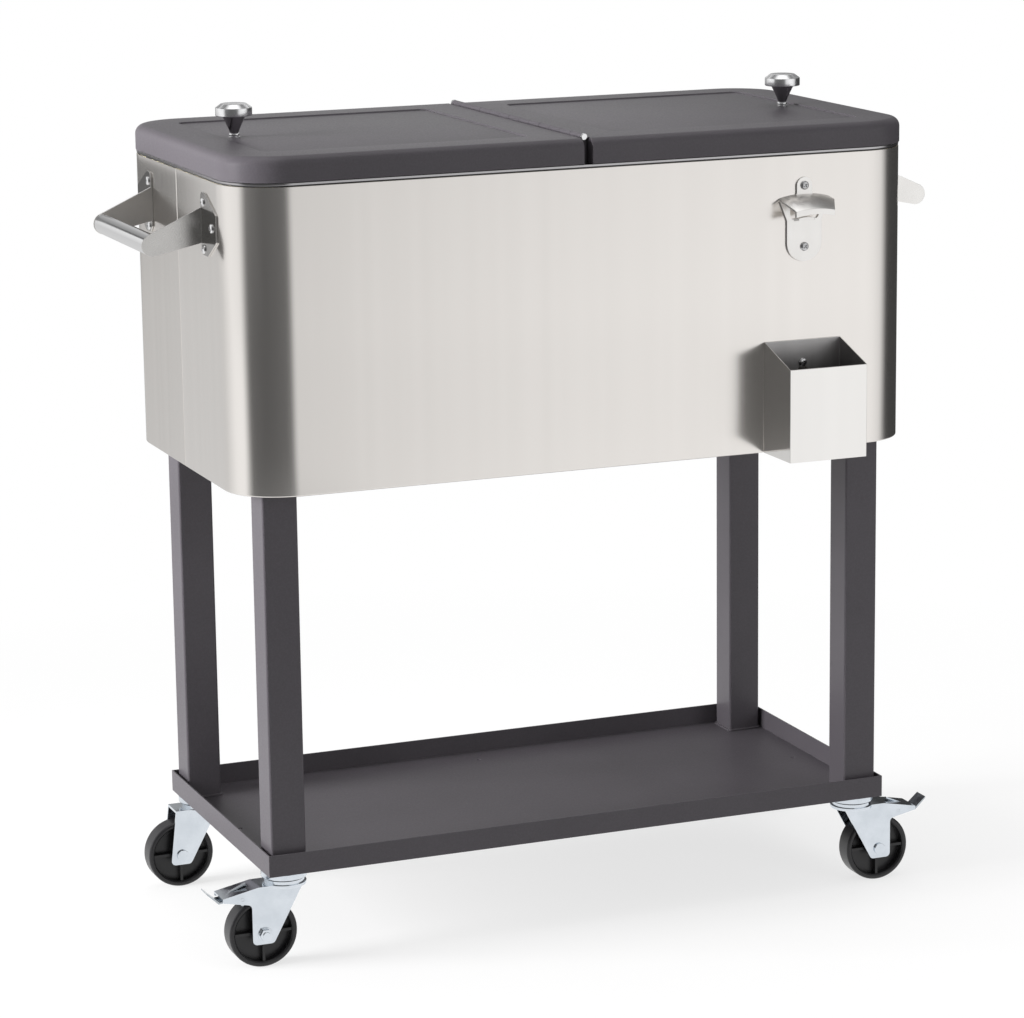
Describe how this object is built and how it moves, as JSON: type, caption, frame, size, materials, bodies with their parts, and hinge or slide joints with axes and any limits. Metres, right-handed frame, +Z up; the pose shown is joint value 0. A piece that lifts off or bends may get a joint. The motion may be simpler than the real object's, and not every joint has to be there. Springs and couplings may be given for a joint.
{
  "type": "rolling cooler cart",
  "caption": "Insulated stainless cooler tank with hinged lids on square legs, with a shelf tray, swivel casters, side handles, a bottle opener and a cap catcher.",
  "frame": {"origin": "on the floor under the middle of the whole cart's box: the tank's middle lies 32 mm behind it, because the cap catcher stands out at the front", "axes": "+X along the tank from its left handle to its right handle, -Y out of the front face with the bottle opener, +Z up from the floor"},
  "size_m": [0.914, 0.47, 0.908],
  "materials": {
    "stainless": "vertical brushed satin stainless sheet",
    "bright_steel": "smooth satin stainless, near polished",
    "powder_coat": "fine-textured charcoal powder coat",
    "zinc": "bright zinc plate with a faint blue cast",
    "black_plastic": "moulded black polypropylene, satin",
    "liner_grey": "smooth light grey moulded liner",
    "insulation": "rigid cream polyurethane foam"
  },
  "bodies": {
    "cart": {"front_shell": "stainless", "rear_shell": "stainless", "bottom_panel": "stainless", "foam_insulation": "insulation", "inner_liner": "liner_grey", "rim_trim": "bright_steel", "center_bar": "powder_coat", "hinge_rod": "bright_steel", "bottle_opener": "stainless", "front_screws": "bright_steel", "left_handle_bar": "bright_steel", "right_handle_bar": "bright_steel", "left_front_bracket": "stainless", "left_rear_bracket": "stainless", "right_front_bracket": "stainless", "right_rear_bracket": "stainless", "handle_screws": "bright_steel", "left_front_leg": "powder_coat", "left_rear_leg": "powder_coat", "right_front_leg": "powder_coat", "right_rear_leg": "powder_coat", "leg_bolts": "zinc", "shelf_tray": "powder_coat", "drain_fitting": "bright_steel", "drain_nut": "bright_steel", "left_front_caster_mount": "zinc", "left_rear_caster_mount": "zinc", "right_front_caster_mount": "zinc", "right_rear_caster_mount": "zinc", "caster_nuts": "zinc"},
    "left_lid": {"left_lid_panel": "powder_coat", "left_lid_liner": "liner_grey", "left_lid_foam": "insulation", "left_hinge_leaf": "powder_coat", "left_knob_cap": "bright_steel", "left_knob_stem": "powder_coat", "left_knob_screw": "zinc"},
    "right_lid": {"right_lid_panel": "powder_coat", "right_lid_liner": "liner_grey", "right_lid_foam": "insulation", "right_hinge_leaf": "powder_coat", "right_knob_cap": "bright_steel", "right_knob_stem": "powder_coat", "right_knob_screw": "zinc"},
    "catcher": {"cap_catcher": "stainless"},
    "drain_plug": {"drain_cap": "black_plastic"},
    "left_front_caster": {"left_front_fork": "zinc", "left_front_axle": "zinc"},
    "left_rear_caster": {"left_rear_fork": "zinc", "left_rear_axle": "zinc"},
    "right_front_caster": {"right_front_fork": "zinc", "right_front_axle": "zinc"},
    "right_rear_caster": {"right_rear_fork": "zinc", "right_rear_axle": "zinc"},
    "left_front_roller": {"left_front_wheel": "black_plastic"},
    "left_rear_roller": {"left_rear_wheel": "black_plastic"},
    "right_front_roller": {"right_front_wheel": "black_plastic"},
    "right_rear_roller": {"right_rear_wheel": "black_plastic"},
    "left_pedal": {"left_brake_pedal": "zinc"},
    "right_pedal": {"right_brake_pedal": "zinc"}
  },
  "joints": [
    {"name": "left_lid_hinge", "type": "hinge", "parent": "cart", "child": "left_lid", "pos_m": [0, 0.032, 0.874], "axis": [0, 1, 0], "range_deg": [0, 165]},
    {"name": "right_lid_hinge", "type": "hinge", "parent": "cart", "child": "right_lid", "pos_m": [0, 0.032, 0.874], "axis": [0, 1, 0], "range_deg": [-165, 0]},
    {"name": "catcher_lift", "type": "slide", "parent": "cart", "child": "catcher", "axis": [0, 0, 1], "range_m": [0, 0.008]},
    {"name": "drain_cap_turn", "type": "hinge", "parent": "cart", "child": "drain_plug", "pos_m": [-0.25, 0.032, 0.5], "axis": [0, 0, 1], "range_deg": [0, 360]},
    {"name": "left_front_swivel", "type": "hinge", "parent": "cart", "child": "left_front_caster", "pos_m": [-0.34, -0.119, 0.09], "axis": [0, 0, 1], "continuous": true},
    {"name": "left_rear_swivel", "type": "hinge", "parent": "cart", "child": "left_rear_caster", "pos_m": [-0.34, 0.183, 0.09], "axis": [0, 0, 1], "continuous": true},
    {"name": "right_front_swivel", "type": "hinge", "parent": "cart", "child": "right_front_caster", "pos_m": [0.34, -0.119, 0.09], "axis": [0, 0, 1], "continuous": true},
    {"name": "right_rear_swivel", "type": "hinge", "parent": "cart", "child": "right_rear_caster", "pos_m": [0.34, 0.183, 0.09], "axis": [0, 0, 1], "continuous": true},
    {"name": "left_front_roll", "type": "hinge", "parent": "left_front_caster", "child": "left_front_roller", "pos_m": [-0.368, -0.119, 0.038], "axis": [0, 1, 0], "continuous": true},
    {"name": "left_rear_roll", "type": "hinge", "parent": "left_rear_caster", "child": "left_rear_roller", "pos_m": [-0.368, 0.183, 0.038], "axis": [0, 1, 0], "continuous": true},
    {"name": "right_front_roll", "type": "hinge", "parent": "right_front_caster", "child": "right_front_roller", "pos_m": [0.368, -0.119, 0.038], "axis": [0, 1, 0], "continuous": true},
    {"name": "right_rear_roll", "type": "hinge", "parent": "right_rear_caster", "child": "right_rear_roller", "pos_m": [0.368, 0.183, 0.038], "axis": [0, 1, 0], "continuous": true},
    {"name": "left_brake", "type": "hinge", "parent": "left_front_caster", "child": "left_pedal", "pos_m": [-0.392, -0.119, 0.08], "axis": [0, -1, 0], "range_deg": [0, 16]},
    {"name": "right_brake", "type": "hinge", "parent": "right_front_caster", "child": "right_pedal", "pos_m": [0.392, -0.119, 0.08], "axis": [0, 1, 0], "range_deg": [0, 16]}
  ]
}
